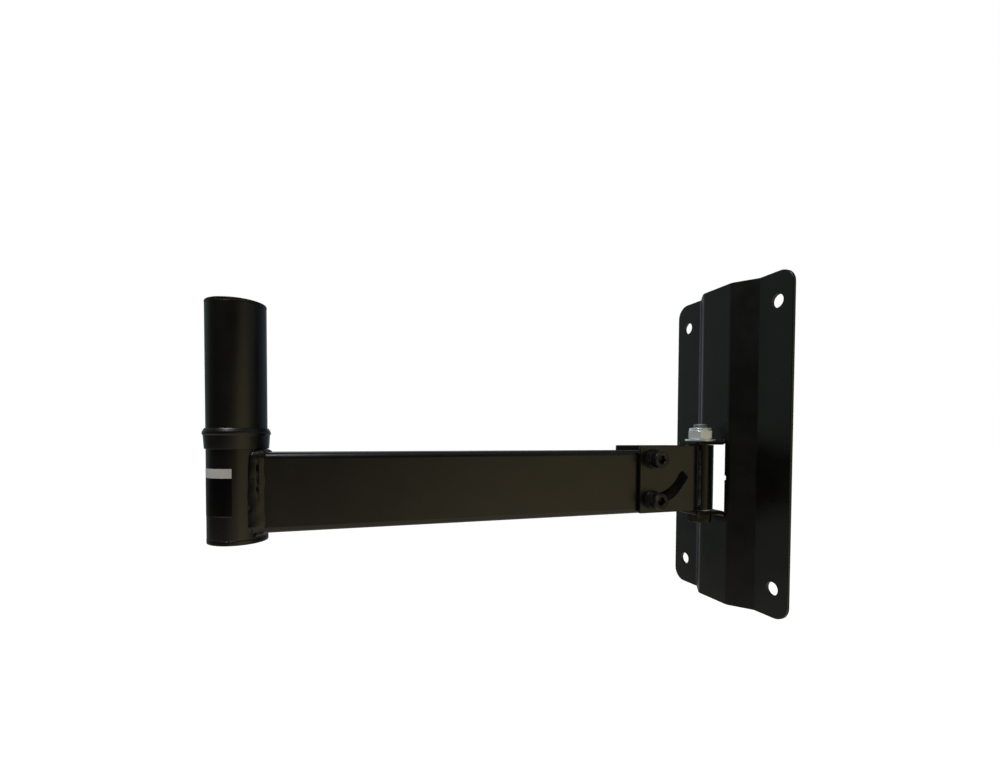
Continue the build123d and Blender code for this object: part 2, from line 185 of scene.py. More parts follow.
def makeZinc():
    # bright plating: cloudy tone, fine turned scratches
    finish, tree, shader, place = newFinish("zincPlate", metallic=zincPlate["metallic"])
    clouds = spread(tree, noiseOf(tree, place, *zincPlate["clouds"]), zincPlate["cloudRange"])
    tone = mixColour(tree, clouds, zincPlate["bright"], zincPlate["dull"])
    scratches = noiseOf(tree, place, *zincPlate["scratches"])
    gloss = spread(tree, scratches, noiseMiddle, zincPlate["gloss"])
    dress(tree, shader, tone, gloss, scratches, zincPlate["relief"])
    return finish


blackenedSteel = {
    "metallic": 0.85, "patches": (0.0045, 5.0, 0.62), "patchRange": (0.48, 0.80),
    "marks": (0.00035, 3.0, 0.6), "relief": (0.000014, 0.6),
    "blur": 0.0002,  # metres
}
blackOxide = {"dark": (0.024, 0.025, 0.026), "worn": (0.085, 0.084, 0.080), "gloss": (0.33, 0.48)}
# the swivel bolt's steel: worn patches, and above a height a painted light grey that stands in for the light
# falling on the bolt's end over the nut
wornSteelPaintedLight = {
    "dark": (0.026, 0.0245, 0.020), "worn": (0.090, 0.084, 0.070), "gloss": (0.36, 0.50),
    "paintedLightGrey": (0.40, 0.405, 0.41), "paintedLightAbove": 0.0105,  # metres
}


def makeBlackened(name, steel):
    # oiled blackened steel: worn brighter in patches, fine tool marks, and painted light above a height if one is
    # given: a light grey tone there stands in for the light falling on the bolt's top end
    finish, tree, shader, place = newFinish(name, metallic=blackenedSteel["metallic"])
    wear = spread(tree, noiseOf(tree, place, *blackenedSteel["patches"]), blackenedSteel["patchRange"])
    tone = mixColour(tree, wear, steel["dark"], steel["worn"])
    # painted light: above the height the tone is mixed to a light grey for the lit end of the bolt
    if "paintedLightGrey" in steel:
        height, blur = steel["paintedLightAbove"], blackenedSteel["blur"]
        level = addNode(tree, "ShaderNodeSeparateXYZ", Vector=place).outputs[2]
        tone = mixColour(tree, spread(tree, level, (height - blur, height + blur)), tone, steel["paintedLightGrey"])
    marks = noiseOf(tree, place, *blackenedSteel["marks"])
    gloss = spread(tree, marks, noiseMiddle, steel["gloss"])
    dress(tree, shader, tone, gloss, marks, blackenedSteel["relief"])
    return finish


mouldedBlack = {
    "dark": (0.0030, 0.0031, 0.0033), "light": (0.0056, 0.0056, 0.0056), "ior": 1.48,
    "clouds": (0.010, 3.0, 0.6), "gloss": (0.24, 0.36),
    "grain": (0.00042, 2.0, 0.6), "relief": (0.000010, 0.8),
}
naturalNylon = {
    "dark": (0.66, 0.67, 0.64), "light": (0.76, 0.77, 0.75), "ior": 1.53,
    "clouds": (0.003, 3.0, 0.5), "gloss": (0.36, 0.46),
    "grain": (0.0006, 2.0, 0.5), "relief": (0.00002, 0.5),
}


def makePlastic(name, plastic):
    # moulded plastic: faint clouds in the tone and the gloss, and a fine grain
    finish, tree, shader, place = newFinish(name, ior=plastic["ior"])
    clouds = noiseOf(tree, place, *plastic["clouds"])
    tone = mixColour(tree, clouds, plastic["dark"], plastic["light"])
    gloss = spread(tree, clouds, noiseMiddle, plastic["gloss"])
    dress(tree, shader, tone, gloss, noiseOf(tree, place, *plastic["grain"]), plastic["relief"])
    return finish


finishes = {
    "powder_coat": makePowderCoat(),
    "zinc": makeZinc(),
    "black_oxide": makeBlackened("blackOxide", blackOxide),
    "moulded_black": makePlastic("mouldedBlack", mouldedBlack),
    "nylon": makePlastic("naturalNylon", naturalNylon),
}
for name, solid in nodes.items():
    solid.data.materials.clear()
    solid.data.materials.append(finishes[slotOf[name]])
print("finishes made:", len(finishes))

# surfaces
meshing = {
    "merge": 2e-7, "sliver": 1e-7,  # metres
    "turned": 192, "washer": 144,  # columns round a piece
    "plainEdge": 38, "hexEdge": 32, "beadEdge": 60,  # degrees past which an edge is sharp
}


def joinGrids(name, grids, sharpAngle):
    # each grid of points (rows, columns, 3) in mm is closed round its columns and, where asked, its rows;
    # cell corners are taken by index, and a grid whose signed volume is negative is turned round
    points, faces, count = [], [], 0
    for grid, closeRows in grids:
        rows, columns = grid.shape[:2]
        index = np.arange(rows * columns).reshape(rows, columns)
        index = np.hstack((index, index[:, :1]))
        if closeRows:
            index = np.vstack((index, index[:1]))
        cells = np.stack((index[:-1, :-1], index[1:, :-1], index[1:, 1:], index[:-1, 1:]), axis=-1)
        cells = cells.reshape(-1, 4)
        flat = grid.reshape(-1, 3)
        corner = flat[cells] - flat.mean(axis=0)
        volume = (np.einsum("ij,ij->i", corner[:, 0], np.cross(corner[:, 1], corner[:, 2]))
                  + np.einsum("ij,ij->i", corner[:, 0], np.cross(corner[:, 2], corner[:, 3]))).sum()
        if volume < 0:
            cells = cells[:, ::-1]
        points.append(flat * mm)
        faces.append(cells + count)
        count += len(flat)
    mesh = bpy.data.meshes.new(name)
    mesh.from_pydata(np.vstack(points).tolist(), [], np.vstack(faces).tolist())
    shape = bmesh.new()
    shape.from_mesh(mesh)
    bmesh.ops.remove_doubles(shape, verts=shape.verts, dist=meshing["merge"])
    bmesh.ops.dissolve_degenerate(shape, edges=shape.edges, dist=meshing["sliver"])
    shape.to_mesh(mesh)
    shape.free()
    mesh.shade_smooth()
    mesh.set_sharp_from_angle(angle=radians(sharpAngle))
    return mesh


def placePiece(name, grids, node=None, body=None, slot=None, finish=None, edge="plainEdge"):
    # puts the surface on its body, in the finish of the node it stands for unless another is given
    slot = slot or slotOf[node]
    mesh = joinGrids(name, grids, meshing[edge])
    mesh.materials.append(finish or finishes[slot])
    piece = bpy.data.objects.new(name, mesh)
    scene.collection.objects.link(piece)
    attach(piece, body or bodyOf[node])
    if node:
        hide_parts(node)


def seatAt(origin, along, across=(1, 0, 0)):
    # a place for a turned piece: a point, the way its axis goes, and where its first column lies
    seat = {"origin": origin, "along": along, "across": across}
    return {name: np.array(value, float) for name, value in seat.items()}


def raised(seat, height):
    return {**seat, "origin": seat["origin"] + seat["along"] * height}


def turnsOf(columns):
    return np.linspace(0, 2 * pi, columns, endpoint=False)[None, :]


def swept(radius, height, turn, seat):
    # origin + across r cos t + third r sin t + along h, where third is square to the other two
    third = np.cross(seat["along"], seat["across"])
    ring = seat["across"] * np.cos(turn)[..., None] + third * np.sin(turn)[..., None]
    return seat["origin"] + ring * radius[..., None] + seat["along"] * height[..., None]


def turned(radius, height, seat):
    # every row goes all the way round the seat's axis
    return swept(radius, height, turnsOf(radius.shape[1]), seat)


def spreadRows(line, columns):
    # a line of (radius, height) becomes two arrays with the same value all the way round
    line = np.array(line, float)
    return tuple(np.repeat(line[:, k:k + 1], columns, axis=1) for k in (0, 1))


def turnedLine(line, seat, columns=meshing["turned"]):
    return turned(*spreadRows(line, columns), seat)


def roundedLine(corners, bends, closed=False, steps=6):
    # each corner becomes a quadratic curve between points a bend's length along its two sides
    corners = np.array(corners, float)
    bends = np.broadcast_to(np.array(bends, float).reshape(-1, 1), (len(corners), 1))

    def setBack(shift):
        side = np.roll(corners, shift, axis=0) - corners
        length = np.maximum(np.linalg.norm(side, axis=1, keepdims=True), 1e-9)  # never zero
        return corners + side / length * np.minimum(bends, length / 2)

    start, stop = setBack(1)[:, None], setBack(-1)[:, None]
    t = np.linspace(0, 1, steps)[None, :, None]
    curve = (1 - t)**2 * start + 2 * t * (1 - t) * corners[:, None] + t**2 * stop
    if not closed:
        curve[0], curve[-1] = corners[0], corners[-1]
    return curve.reshape(-1, 2)


def offsetFrom(radius, height, offsets):
    return [(radius + out, height + up) for out, up in offsets]


def rampUp(value, start, length):
    return np.clip((value - start) / length, 0, 1)


# hexagons and threads
hexagon = {
    "face": 0.95,  # the chamfer's inner edge, as a share of the flats
    "cut": 0.99, "soft": 0.16,  # corners stop at this share of their reach, rounded over this width in mm
    "slope": tan(pi / 6), "chamferRows": 9,
    "farthest": 0.998,  # points past this share of the solid's reach are its corners
}


def hexPoint(flats):
    return flats / 2 / cos(pi / 6)


def hexRadius(turn, flats, corner):
    # distance to the sides of a hexagon with a corner at that angle
    return flats / 2 / np.cos((turn - corner) % (pi / 3) - pi / 6)


def hexSides(turn, flats, corner):
    # the smaller of the hexagon's radius and a circle's, rounded where they are close to each other
    sides, circle = hexRadius(turn, flats, corner), hexPoint(flats) * hexagon["cut"]
    share = np.clip(0.5 + (circle - sides) / (2 * hexagon["soft"]), 0, 1)
    return circle * (1 - share) + sides * share - hexagon["soft"] * share * (1 - share)


def cornerOf(node, seat):
    # the angle of a hexagon's corners, from the solid's farthest points
    flat = np.empty(len(nodes[node].data.vertices) * 3)
    nodes[node].data.vertices.foreach_get("co", flat)
    away = flat.reshape(-1, 3) / mm - seat["origin"]
    x, y = away @ seat["across"], away @ np.cross(seat["along"], seat["across"])
    reach = np.hypot(x, y)
    farthest = reach > hexagon["farthest"] * reach.max()
    return np.angle(np.exp(6j * np.arctan2(y, x))[farthest].mean()) / 6


threadForm = {
    "depth": 0.58, "steep": 1.3, "crest": 0.12, "rows": 84,  # depth is a share of the pitch
    "runIn": 0.8, "plain": 0.3,  # mm below and above the thread's start
}


def threadedEnd(length, sizes, turn):
    # a helix down to a chamfered tip, closed by a last row: the depth is a flattened triangle wave of the
    # height less the pitch's share of the turn, and it grows over a short run-in
    shank, start = sizes["shank"] / 2, sizes["threaded"] - length
    level = np.linspace(start, -length, threadForm["rows"])[:, None] + 0 * turn
    wave = np.abs((level / sizes["pitch"] - turn / (2 * pi)) % 1 * 2 - 1)
    wave = np.clip(wave * threadForm["steep"] - threadForm["crest"], 0, 1)
    depth = threadForm["depth"] * sizes["pitch"] * wave
    thread = shank - depth * rampUp(start - level, 0, threadForm["runIn"])
    tip = shank - np.clip(sizes["tip"] - (level + length), 0, None)
    return np.vstack((np.minimum(thread, tip), 0 * turn)), np.vstack((level, 0 * turn - length))


def plainShank(length, sizes):
    return [(sizes["shank"] / 2, sizes["threaded"] - length + threadForm["plain"])]


# screws of the tilt joint, in mm
screw = {
    "head": 13.0, "headHeight": 8.0, "socket": 6.0, "socketDepth": 4.2,
    "shank": 8.0, "pitch": 1.25, "threaded": 5.0, "tip": 0.9, "proud": 2.0,
    # the socket's rows: share of its walls' radius and height over its floor,
    # then share, least radius and depth under the top
    "socketFoot": ((0.0, -0.7), (0.75, -0.25), (0.97, 0.0), (1.0, 0.12)),
    "socketMouth": ((1.0, 0.0, 0.55), (1.0, 3.25, 0.28), (1.02, 3.62, 0.0)),
    # offsets (outward, upward) from the head's top edge, from its bottom edge and from the shank under it
    "crown": ((-2.3, 0.0), (-0.15, 0.0), (-0.02, -1.3), (0.0, -1.6)), "crownBends": (0, 0.9, 0.3, 0),
    "crownSteps": 7,
    "foot": ((0.0, 0.5), (-0.12, 0.2), (-0.4, 0.0)), "neck": ((0.5, 0.0), (0.1, -0.15), (0.0, -0.6)),
    "knurl": {
        "count": 44, "columns": 6, "rows": 16, "depth": 0.30, "power": 0.8,
        "top": 1.7, "foot": 0.7, "topFade": (1.2, 0.9), "footFade": (0.35, 0.7),
    },
}


def screwGrid(seat, length):
    # rows run from the socket's floor up its six walls, over the head, down the knurl and along the shank
    # to its tip; the knurl's depth is a power of a cosine wave round the head
    knurl, top, outer = screw["knurl"], screw["headHeight"], screw["head"] / 2
    columns = knurl["count"] * knurl["columns"]
    turn = turnsOf(columns)
    wall, floor = hexRadius(turn, screw["socket"], 0), top - screw["socketDepth"]
    socket = [(share * wall, floor + rise) for share, rise in screw["socketFoot"]]
    socket += [(np.maximum(share * wall, least), top - drop) for share, least, drop in screw["socketMouth"]]
    socketRows = np.vstack([row for row, _ in socket]), np.vstack([0 * wall + level for _, level in socket])
    crown = offsetFrom(outer, top, screw["crown"])
    crown = roundedLine(crown, screw["crownBends"], steps=screw["crownSteps"])
    level = np.linspace(top - knurl["top"], knurl["foot"], knurl["rows"])[:, None]
    fade = rampUp(top - level, *knurl["topFade"]) * rampUp(level, *knurl["footFade"])
    groove = knurl["depth"] * fade * (0.5 - 0.5 * np.cos(knurl["count"] * turn))**knurl["power"]
    foot = offsetFrom(outer, 0, screw["foot"]) + offsetFrom(screw["shank"] / 2, 0, screw["neck"])
    parts = (socketRows, spreadRows(crown, columns), (outer - groove, np.repeat(level, columns, axis=1)),
             spreadRows(foot + plainShank(length, screw), columns), threadedEnd(length, screw, turn))
    radius, height = (np.vstack(rows) for rows in zip(*parts))
    return turned(radius, height, seat)


# washers, in mm
flatWasher = {"outer": 16.0, "bore": 8.5, "thickness": 1.6, "edge": 0.22}
springWasher = {"outer": 14.6, "bore": 8.5, "thickness": 2.0, "edge": 0.22}
springSplit = {"gap": 1.8, "skew": 0.10, "endSize": 0.93, "steps": 97}


def ringSection(outer, bore, thickness, edge):
    # a rectangle of (radius, height) with rounded corners
    inner, outer = bore / 2, outer / 2
    return roundedLine([(inner, 0), (outer, 0), (outer, thickness), (inner, thickness)], edge, True)


def washerGrid(seat, washer):
    return turnedLine(ringSection(**washer), seat, meshing["washer"])


def springGrid(seat):
    # the sheared section follows an arc that stops short of a full turn, and closes to a point at both ends
    section, steps = ringSection(**springWasher), springSplit["steps"]
    middle = section.mean(axis=0)
    half = springSplit["gap"] / 2 / middle[0]
    turn = pi / 2 + np.linspace(half, 2 * pi - half, steps)
    turn = np.concatenate((turn[:1], turn[:1], turn, turn[-1:], turn[-1:]))
    size = np.concatenate(([0, springSplit["endSize"]], np.ones(steps), [springSplit["endSize"], 0]))[:, None]
    radius, height = (middle[k] + (section[None, :, k] - middle[k]) * size for k in (0, 1))
    shear = (height - middle[1]) / springWasher["thickness"] * springSplit["skew"]
    return swept(radius, height, turn[:, None] + shear, seat)


# locknuts, in mm
locknut = {
    "pocket": 2.3, "lead": 0.5, "footEdge": 0.15, "footRise": 0.04, "shoulderEdge": 0.25, "shoulderRows": 14,
    # offsets (outward, upward) from the collar's foot and top edge, and from the bore's edge in the pocket
    "collarFoot": ((0.1, 0.05), (0.0, 0.5)), "collarTop": ((0.0, 0.0), (-0.95, 0.0), (-1.0, -0.6)),
    "collarBends": (0, 0.3, 1.1, 0.35, 0), "boreEdge": ((0.02, 0.0), (0.0, -0.1)),
}


def locknutGrid(seat, corner, flats, hexHeight, collar, height, bore):
    # a closed profile goes round the axis, and its outer rows stop at the hexagon's sides
    columns, collar, bore = meshing["turned"], collar / 2, bore / 2
    point, foot = hexPoint(flats), hexagon["face"] * flats / 2
    rise, shoulder = (point - foot) * hexagon["slope"], (point - collar) * hexagon["slope"]
    rim = offsetFrom(collar, hexHeight, locknut["collarFoot"])
    rim += offsetFrom(collar, height, locknut["collarTop"])
    outside = np.vstack((
        [(bore + locknut["lead"], 0), (foot - locknut["footEdge"], 0)],
        np.linspace((foot, locknut["footRise"]), (point, rise), hexagon["chamferRows"]),
        np.linspace((point, hexHeight - shoulder), (collar + locknut["shoulderEdge"], hexHeight),
                    locknut["shoulderRows"]),
        roundedLine(rim, locknut["collarBends"]),
    ))
    pocket = height - locknut["pocket"]
    inside = [(rim[-1][0], pocket), *offsetFrom(bore, pocket, locknut["boreEdge"]), (bore, locknut["lead"])]
    radius, level = spreadRows(outside, columns)
    radius = np.minimum(radius, hexSides(turnsOf(columns), flats, corner))
    inner, innerLevel = spreadRows(inside, columns)
    return turned(np.vstack((radius, inner)), np.vstack((level, innerLevel)), seat)


# the tilt joint's two screws, each with its washers and nut, in mm
tiltJoint = {
    "strapFace": 18.3, "screwSpacing": 33.0, "gaps": {"pivot": 0.0, "lock": 0.1},  # gap beside the strap
    "nut": {"flats": 13.0, "hexHeight": 6.0, "collar": 12.2, "height": 8.0, "bore": 8.1},
}


def makeTiltScrew(name, z, gap):
    face, y = tiltJoint["strapFace"] + gap, jointAt["tilt"][1]
    near = seatAt((face, y, z), (1, 0, 0), (0, 1, 0))
    far = seatAt((-face, y, z), (-1, 0, 0), (0, 1, 0))
    washer, spring = flatWasher["thickness"], springWasher["thickness"]
    nutSeat = raised(far, washer)
    nut = locknutGrid(nutSeat, cornerOf(f"{name}_nut", nutSeat), **tiltJoint["nut"])
    length = 2 * face + washer + spring + washer + tiltJoint["nut"]["height"] + screw["proud"]
    whole = screwGrid(raised(near, washer + spring), length)
    placePiece(f"{name}ScrewVisual", [(whole, False)], f"{name}_screw", edge="hexEdge")
    placePiece(f"{name}WasherVisual", [(washerGrid(near, flatWasher), True)], f"{name}_washer")
    placePiece(f"{name}FarWasherVisual", [(washerGrid(far, flatWasher), True)], f"{name}_far_washer")
    placePiece(f"{name}SpringVisual", [(springGrid(raised(near, washer)), False)], f"{name}_spring_washer")
    placePiece(f"{name}NutVisual", [(nut, True)], f"{name}_nut", edge="hexEdge")


for name, drop in (("pivot", 0), ("lock", tiltJoint["screwSpacing"])):
    makeTiltScrew(name, jointAt["tilt"][2] - drop, tiltJoint["gaps"][name])
print("tilt joint's screws made")

# swivel bolt, nut and washers, in mm
swivel = {
    "underEar": -60.25, "onLowerEar": -57.25, "overEar": 3.25, "end": 18.25,  # heights
    "head": 7.5, "flats": 19.0, "shank": 12.0, "pitch": 1.75, "threaded": 5.5, "tip": 1.0,
    "dish": 0.25, "dishEdge": (0.62, 0.68),  # depth, and its edges as shares of the head's face
    "faceEdge": 0.2, "faceDrop": 0.03, "sideTop": 0.4, "sideFoot": 0.15,
    # offsets (outward, upward) from the head's seat and from the shank there
    "seatEdge": ((0.25, 0.12), (0.1, 0.0)), "neck": ((0.4, 0.0), (0.0, -0.5)),
    "nut": {"flats": 19.0, "hexHeight": 7.4, "collar": 18.4, "height": 9.8, "bore": 12.1},
    "nutTurn": 8.0,  # degrees from the solid's corners
    "washer": {"outer": 25.0, "bore": 12.5, "thickness": 1.8, "edge": 0.3},
    "thrustWasher": {"outer": 22.0, "bore": 12.5, "thickness": 1.0, "edge": 0.25},
}


def boltGrid(seat, corner):
    # rows run from the head's middle over its chamfered face, down the six sides, then along the shank to
    # its tip; heights are from the head's seat, with the head above it
    columns, flats, top = meshing["turned"], swivel["flats"], swivel["head"]
    turn, length = turnsOf(columns), swivel["end"] - swivel["underEar"]
    point, face = hexPoint(flats), hexagon["face"] * flats / 2
    rise = (point - face) * hexagon["slope"]
    floor = top - swivel["dish"]
    innerEdge, outerEdge = (share * face for share in swivel["dishEdge"])
    head = np.vstack((
        [(0, floor), (innerEdge, floor), (outerEdge, top), (face - swivel["faceEdge"], top)],
        np.linspace((face, top - swivel["faceDrop"]), (point, top - rise), hexagon["chamferRows"]),
        [(point, top - rise - swivel["sideTop"]), (point, swivel["sideFoot"])],
        offsetFrom(face, 0, swivel["seatEdge"]), offsetFrom(swivel["shank"] / 2, 0, swivel["neck"]),
        plainShank(length, swivel),
    ))
    radius, height = spreadRows(head, columns)
    radius = np.minimum(radius, hexSides(turn, flats, corner))
    endRadius, endHeight = threadedEnd(length, swivel, turn)
    return turned(np.vstack((radius, endRadius)), np.vstack((height, endHeight)), seat)


def makeSwivel():
    y = jointAt["swivel"][1]
    headSeat = seatAt((0, y, swivel["underEar"]), (0, 0, -1))
    topSeat = seatAt((0, y, swivel["overEar"]), (0, 0, 1))
    thrustSeat = seatAt((0, y, swivel["onLowerEar"]), (0, 0, 1))
    nutSeat = raised(topSeat, swivel["washer"]["thickness"])
    nutCorner = cornerOf("swivel_nut", nutSeat) + radians(swivel["nutTurn"])
    bolt = boltGrid(headSeat, cornerOf("swivel_bolt", headSeat))
    nut = locknutGrid(nutSeat, nutCorner, **swivel["nut"])
    washer, thrust = washerGrid(topSeat, swivel["washer"]), washerGrid(thrustSeat, swivel["thrustWasher"])
    # the bolt's finish has painted light: its end above the nut is painted a light grey
    worn = makeBlackened("wornSteelPaintedLight", wornSteelPaintedLight)
    placePiece("swivelBoltVisual", [(bolt, False)], "swivel_bolt", finish=worn, edge="hexEdge")
    placePiece("swivelNutVisual", [(nut, True)], "swivel_nut", edge="hexEdge")
    placePiece("swivelWasherVisual", [(washer, True)], "swivel_washer")
    placePiece("thrustWasherVisual", [(thrust, True)], "thrust_washer")


makeSwivel()
print("swivel's fasteners made")

# pole and its mouldings, in mm
pole = {
    "y": -396.0, "radius": 17.5, "bore": 15.5, "foot": -58.6, "top": 88.3,
    "groove": (8.3, 10.8), "grooveRadius": 16.9, "endRound": 0.55, "boreRound": 0.2, "grooveRound": 0.05,
}
moulding = {
    "lipRadius": 17.6, "skirtRadius": 15.4, "skirtWall": 1.6, "skirt": 14.0, "capLip": 1.8, "plugLip": 3.0,
    "dish": 0.35, "dishRadius": 12.6, "dishSlope": 0.8,
    "dishRound": 0.5, "rimRound": 0.8, "underRound": 0.35, "seatRound": 0.05, "skirtRound": 0.4,
}
collar = {
    "bore": 17.6, "foot": (18.4, -2.2), "neck": (18.95, 6.5), "rim": (19.495, 7.0, 8.4), "top": (18.2, 10.8),
    "rib": (17.0, 8.4, 10.7), "rounds": (0.1, 0.35, 0.5, 0.5, 0.6, 0.3, 0.04, 0.04, 0.1, 0.1, 0.1),
}


def mouldingGrid(seat, lip):
    # rows run from the dished face's middle over the rim, under the lip, round the skirt and back inside
    rim, skirt = moulding["lipRadius"], moulding["skirtRadius"]
    inner, low = skirt - moulding["skirtWall"], -moulding["skirt"]
    dish, floor = moulding["dishRadius"], lip - moulding["dish"]
    corners = [(0, floor), (dish, floor), (dish + moulding["dishSlope"], lip), (rim, lip), (rim, 0),
               (skirt, 0), (skirt, low), (inner, low), (inner, 0), (0, 0)]
    places = ("dish", "dish", "rim", "under", "seat", "skirt", "skirt", "seat")
    rounds = [moulding[f"{place}Round"] for place in places]
    return turnedLine(roundedLine(corners, [0, *rounds, 0]), seat)


def poleGrid(seat):
    # the tube's section goes round the pole's axis: rounded ends, and the groove for the collar's rib
    outer, bore, groove = pole["radius"], pole["bore"], pole["grooveRadius"]
    low, high = pole["groove"]
    corners = [(bore, pole["foot"]), (outer, pole["foot"]), (outer, low), (groove, low), (groove, high),
               (outer, high), (outer, pole["top"]), (bore, pole["top"])]
    ends = [pole["boreRound"], pole["endRound"]]
    return turnedLine(roundedLine(corners, ends + [pole["grooveRound"]] * 4 + ends[::-1], True), seat)


def collarGrid(seat):
    # the collar's section goes round the pole's axis: taper, rim, bevel, and the rib inside
    bore, (rim, low, high), (rib, ribFoot, ribTop) = collar["bore"], collar["rim"], collar["rib"]
    foot, neck, top = collar["foot"], collar["neck"], collar["top"]
    corners = [(bore, foot[1]), foot, neck, (rim, low), (rim, high), top, (bore, top[1]), (bore, ribTop),
               (rib, ribTop), (rib, ribFoot), (bore, ribFoot)]
    return turnedLine(roundedLine(corners, collar["rounds"], True), seat)


def makePole():
    poleSeat = seatAt((0, pole["y"], 0), (0, 0, 1))
    capSeat = raised(poleSeat, pole["top"])
    plugSeat = seatAt((0, pole["y"], pole["foot"]), (0, 0, -1))
    placePiece("poleTubeVisual", [(poleGrid(poleSeat), True)], "pole_tube")
    placePiece("poleCapVisual", [(mouldingGrid(capSeat, moulding["capLip"]), False)], "pole_cap")
    placePiece("polePlugVisual", [(mouldingGrid(plugSeat, moulding["plugLip"]), False)], "pole_plug")
    placePiece("seatCollarVisual", [(collarGrid(poleSeat), True)], "seat_collar")


makePole()
print("pole and its mouldings made")

# welds, in mm and radians
bead = {
    "domeRows": 22, "runRows": 150, "columns": 180, "domeFade": 1.5,
    # slow unevenness: waves in a length and round the bead, each weaker than the one before
    "length": 52.0, "waves": ((3.1, 1), (5.3, 2), (8.7, 1), (13.9, 3), (23.0, 2)),
    "weaker": 0.7, "divide": 2.2,
}


def bell(value, middle, width):
    return np.exp(-((value - middle) / width)**2)


def stepUp(value, middle, width):
    # a smooth step from 0 to 1
    return 1 / (1 + np.exp(-(value - middle) / width))


def lumps(along, around, seed):
    # a sum of sine waves along the bead and round it, with set phases
    waves = bead["waves"]
    phase = np.random.default_rng(seed).uniform(0, 2 * pi, (len(waves), 2))[:, 0]
    total = sum(np.sin(2 * pi * along / bead["length"] * rate + turns * around + phase[k])
                / (1 + bead["weaker"] * k) for k, (rate, turns) in enumerate(waves))
    return total / bead["divide"]


def ripplesOf(level, turn, depth, pitch, bow, bowRate):
    # a sine wave of the height, bowed by the turn
    return depth * np.sin(2 * pi * (level + bow * np.cos(turn * bowRate)) / pitch)


def swellsOf(level, turn, swells, seed):
    # two slow waves that slant round the bead, the second with the seed as its phase
    return sum(size * np.sin(level / pitch + slant * turn + phase)
               for (size, pitch, slant), phase in zip(swells, (0, seed)))


def uprightBead(x, y, foot, top, size, relief):
    # a capsule stands on its end: r = size sin p in the domes and size between them, then the relief is added
    dome = np.linspace(0, pi / 2, bead["domeRows"])
    run = np.linspace(foot + size, top - size, bead["runRows"])[1:-1]
    rise = size * (1 - np.cos(dome))
    level = np.concatenate((foot + rise, run, top - rise[::-1]))[:, None]
    reach = np.concatenate((np.sin(dome), np.ones(len(run)), np.sin(dome[::-1])))[:, None]
    turn = turnsOf(bead["columns"])
    radius = reach * size + relief(level, turn) * np.minimum(1, reach * bead["domeFade"])
    radius[[0, -1]] = 0
    return np.stack((x + radius * np.cos(turn), y + radius * np.sin(turn), level + 0 * turn), axis=-1)


poleWeld = {
    "arm": (-55.5, -4.5), "sideAt": (9.89, -383.24), "side": (-56.8, -2.1), "sideSize": 6.61,
    "sideSeeds": (3, 8), "topSize": 1.0, "topSeed": 5, "footSize": 1.8, "footSeed": 6,
    # the bead's section from the pole to the arm, as places along the arm and outward:
    # a steep toe above, a soft one below
    "upper": ((-5.2, 3.6), (-4.4, 5.0), (-3.9, 5.75), (-3.2, 6.2), (-2.2, 6.38), (-0.6, 6.34), (0.6, 6.2),
              (1.6, 6.06), (2.8, 5.75), (3.9, 5.40), (4.9, 5.08), (6.2, 4.66)),
    "lower": ((-6.0, 5.30), (-4.7, 5.50), (-3.7, 5.78), (-2.7, 6.02), (-1.6, 6.16), (-0.4, 6.18), (0.6, 6.10),
              (1.6, 5.95), (2.8, 5.68), (3.9, 5.38), (4.9, 5.08), (6.2, 4.66)),
    "change": (-22.0, 3.5),  # height where one section gives way to the other, and the step's width
    # foot, top, bell and above are the middle and the width of a step or a bell
    "groove": {"depth": 0.26, "foot": (-31.0, 2.0), "top": (-9.0, 1.2), "turn": 0.16,
               "wander": (0.04, 3.1), "width": 0.11},
    "ripples": (0.035, 1.55, 1.6, 4.2),  # depth, pitch, bow and the bow's rate
    "rippleBell": (-0.25, 0.4),
    # height, turn, half length and depth
    "pits": ((-13.5, 0.17, 2.4, 0.95), (-20.5, 0.17, 3.4, 0.35), (-26.7, 0.16, 1.7, 0.80),
             (-39.6, -0.55, 1.6, 0.5), (-53.0, -0.5, 1.3, 0.5)),
    "pitWidth": 0.085,
    "undercut": {"depth": 0.75, "bell": (-0.56, 0.09), "above": (-12.5, 1.2)},
    "swells": ((0.09, 3.7, 2.2), (0.05, 1.9, -3.0)),  # size, pitch and slant
    "lumps": 0.05, "lumpTurns": 2,
    # turn is in degrees each way
    "ring": {"turn": 50.0, "rows": 160, "columns": 48, "ripple": 0.10, "pitch": 1.5, "uneven": 0.132,
             "endFade": 90},
    "fill": {"half": 14.2, "columns": 60, "back": -379.3, "lap": 0.4, "least": 0.05, "thick": 1.8,
             "inset": 0.04},
}


def sideRelief(face, seed):
    # the round section becomes a skewed one whose toe at the pole softens downward, then come a groove
    # between two passes, curved ripples, a few pits and the undercut at the pole
    groove, undercut = poleWeld["groove"], poleWeld["undercut"]

    def sectionOf(points, away):
        beside, outward = np.array(points).T
        return np.interp(away, np.arctan2(beside, outward), np.hypot(beside, outward)) - poleWeld["sideSize"]

    def relief(level, turn):
        away = (turn - face + pi) % (2 * pi) - pi
        away = away if face == 0 else -away
        high = stepUp(level, *poleWeld["change"])
        section = sectionOf(poleWeld["upper"], away) * high + sectionOf(poleWeld["lower"], away) * (1 - high)
        between = stepUp(level, *groove["foot"]) * (1 - stepUp(level, *groove["top"]))
        size, pitch = groove["wander"]
        middle = groove["turn"] + size * np.sin(level / pitch)
        dip = groove["depth"] * between * bell(away, middle, groove["width"])
        ripple = ripplesOf(level, away, *poleWeld["ripples"]) * bell(away, *poleWeld["rippleBell"])
        pits = sum(depth * bell(level, height, half) * bell(away, at, poleWeld["pitWidth"])
                   for height, at, half, depth in poleWeld["pits"])
        cut = undercut["depth"] * bell(away, *undercut["bell"]) * stepUp(level, *undercut["above"])
        swell = swellsOf(level, away, poleWeld["swells"], seed)
        uneven = poleWeld["lumps"] * lumps(level, turn * poleWeld["lumpTurns"], seed)
        return section - dip + ripple - pits - cut + swell + uneven
    return relief


